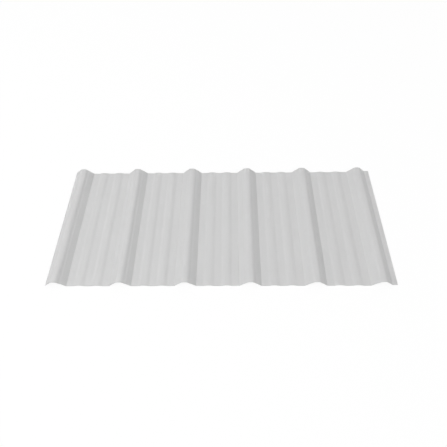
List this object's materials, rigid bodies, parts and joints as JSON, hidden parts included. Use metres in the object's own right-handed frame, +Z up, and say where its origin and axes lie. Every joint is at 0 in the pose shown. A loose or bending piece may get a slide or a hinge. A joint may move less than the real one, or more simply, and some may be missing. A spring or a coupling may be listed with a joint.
{
  "type": "translucent roofing sheet",
  "caption": "Translucent profiled plastic roofing sheet with rounded trapezoidal ribs, low stiffening ribs in the pans and side laps, for daylight in roofs.",
  "frame": {"origin": "middle of the sheet's bounding box at its base, on the plane of the pans' undersides", "axes": "+X across the ribs, from the covering lap to the lap with the lip; +Y along the ribs; +Z up, from the pans to the crests"},
  "size_m": [1.1014, 0.475, 0.0262],
  "materials": {
    "translucent_plastic": "smooth satin translucent white"
  },
  "bodies": {
    "root": {"roofing_sheet": "translucent_plastic"}
  },
  "joints": []
}
